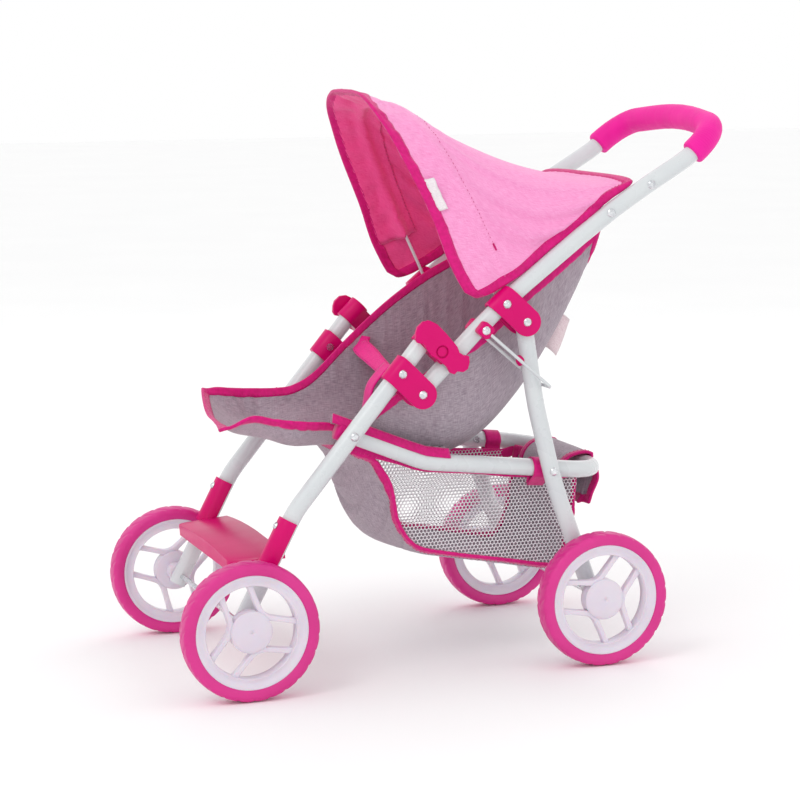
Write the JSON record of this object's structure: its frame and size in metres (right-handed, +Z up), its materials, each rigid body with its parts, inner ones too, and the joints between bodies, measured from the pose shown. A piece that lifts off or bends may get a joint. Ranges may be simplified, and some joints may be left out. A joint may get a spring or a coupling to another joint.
{
  "type": "doll stroller",
  "caption": "Folding doll stroller: bent tube frame on four wheels, hammock seat with belt, canopy on a wire bow, under-seat basket and foam push handle.",
  "frame": {"origin": "on the floor, under the middle of the stroller's box", "axes": "+X to the stroller's left, +Y to its rear (the pusher's side), +Z up"},
  "size_m": [0.291, 0.5495, 0.526],
  "materials": {
    "white_tube": "gloss white powder coat",
    "zinc": "zinc-plated steel",
    "pink_plastic": "moulded magenta-pink plastic",
    "rim_plastic": "milky white moulded plastic",
    "tyre_foam": "soft pink tyre with a shallow tread",
    "grip_foam": "pink closed-cell foam",
    "grey_cloth": "grey melange woven cloth",
    "pink_cloth": "light pink melange woven cloth",
    "pink_tape": "dark pink binding tape"
  },
  "bodies": {
    "front_frame": {"front_tube_left": "white_tube", "front_tube_right": "white_tube", "front_crosspiece": "pink_plastic", "crosspiece_rivets": "zinc", "front_axle": "zinc", "front_axle_nuts": "zinc", "front_axle_washers": "zinc", "lower_bracket_left": "pink_plastic", "lower_bracket_right": "pink_plastic", "lower_bracket_rivets": "zinc", "latch_collar_left": "pink_plastic", "latch_collar_right": "pink_plastic", "latch_pins": "pink_plastic", "rail_front_rivets": "zinc", "seat": "grey_cloth", "waist_belt": "pink_tape"},
    "latch_lever_body_left": {"latch_lever_left": "pink_plastic"},
    "latch_lever_body_right": {"latch_lever_right": "pink_plastic"},
    "rail": {"rail_tube": "white_tube", "rail_leg_rivets": "zinc", "basket": "grey_cloth", "basket_flap": "grey_cloth"},
    "handle": {"handle_tube": "white_tube", "handle_grip": "grip_foam", "upper_bracket_left": "pink_plastic", "upper_bracket_right": "pink_plastic", "upper_bracket_rivets": "zinc", "handle_rivets": "zinc", "bail_rivets": "zinc", "canopy": "pink_cloth"},
    "bail_left": {"bail_wire_left": "white_tube", "bail_eyes_left": "pink_plastic"},
    "bail_right": {"bail_wire_right": "white_tube", "bail_eyes_right": "pink_plastic"},
    "rear_legs": {"rear_leg_left": "white_tube", "rear_leg_right": "white_tube", "leg_knobs": "pink_plastic", "leg_rail_rivets": "zinc", "rear_axle": "zinc", "rear_axle_nuts": "zinc", "rear_axle_washers": "zinc"},
    "wheel_front_left": {"tyre_front_left": "tyre_foam", "rim_front_left": "rim_plastic", "hub_cap_front_left": "rim_plastic"},
    "wheel_front_right": {"tyre_front_right": "tyre_foam", "rim_front_right": "rim_plastic", "hub_cap_front_right": "rim_plastic"},
    "wheel_rear_left": {"tyre_rear_left": "tyre_foam", "rim_rear_left": "rim_plastic", "hub_cap_rear_left": "rim_plastic"},
    "wheel_rear_right": {"tyre_rear_right": "tyre_foam", "rim_rear_right": "rim_plastic", "hub_cap_rear_right": "rim_plastic"},
    "bow": {"canopy_bow": "white_tube"}
  },
  "joints": [
    {"name": "fold", "type": "hinge", "parent": "front_frame", "child": "handle", "pos_m": [0, -0.04283, 0.26], "axis": [-1, 0, 0], "range_deg": [0, 135], "deforming": ["seat", "waist_belt"]},
    {"name": "rail_fold", "type": "hinge", "parent": "front_frame", "child": "rail", "pos_m": [0, -0.10695, 0.22528], "axis": [-1, 0, 0], "range_deg": [0, 95], "deforming": ["basket", "basket_flap"]},
    {"name": "leg_fold", "type": "hinge", "parent": "handle", "child": "rear_legs", "pos_m": [0, 0.05817, 0.3211], "axis": [-1, 0, 0], "range_deg": [-86, 0]},
    {"name": "canopy_fold", "type": "hinge", "parent": "handle", "child": "bow", "pos_m": [0, 0.03847, 0.3382], "axis": [-1, 0, 0], "range_deg": [0, 70], "deforming": ["canopy"]},
    {"name": "bail_left_swing", "type": "hinge", "parent": "handle", "child": "bail_left", "pos_m": [0, 0.01557, 0.316], "axis": [-1, 0, 0], "range_deg": [-68, 0]},
    {"name": "latch_left", "type": "hinge", "parent": "front_frame", "child": "latch_lever_body_left", "pos_m": [0, -0.02584, 0.29859], "axis": [1, 0, 0], "range_deg": [0, 25]},
    {"name": "bail_right_swing", "type": "hinge", "parent": "handle", "child": "bail_right", "pos_m": [0, 0.01557, 0.316], "axis": [-1, 0, 0], "range_deg": [-68, 0]},
    {"name": "latch_right", "type": "hinge", "parent": "front_frame", "child": "latch_lever_body_right", "pos_m": [0, -0.02584, 0.29859], "axis": [1, 0, 0], "range_deg": [0, 25]},
    {"name": "wheel_front_left_spin", "type": "hinge", "parent": "front_frame", "child": "wheel_front_left", "pos_m": [0.135, -0.21243, 0.0625], "axis": [1, 0, 0], "continuous": true},
    {"name": "wheel_front_right_spin", "type": "hinge", "parent": "front_frame", "child": "wheel_front_right", "pos_m": [-0.135, -0.21243, 0.0625], "axis": [1, 0, 0], "continuous": true},
    {"name": "wheel_rear_left_spin", "type": "hinge", "parent": "rear_legs", "child": "wheel_rear_left", "pos_m": [0.13, 0.12757, 0.0625], "axis": [1, 0, 0], "continuous": true},
    {"name": "wheel_rear_right_spin", "type": "hinge", "parent": "rear_legs", "child": "wheel_rear_right", "pos_m": [-0.13, 0.12757, 0.0625], "axis": [1, 0, 0], "continuous": true}
  ],
  "couplings": [
    {"joint": "rail_fold", "follows": "fold", "ratio": 0.69},
    {"joint": "leg_fold", "follows": "fold", "ratio": -0.626},
    {"joint": "bail_left_swing", "follows": "fold", "ratio": -0.5},
    {"joint": "bail_right_swing", "follows": "fold", "ratio": -0.5}
  ]
}
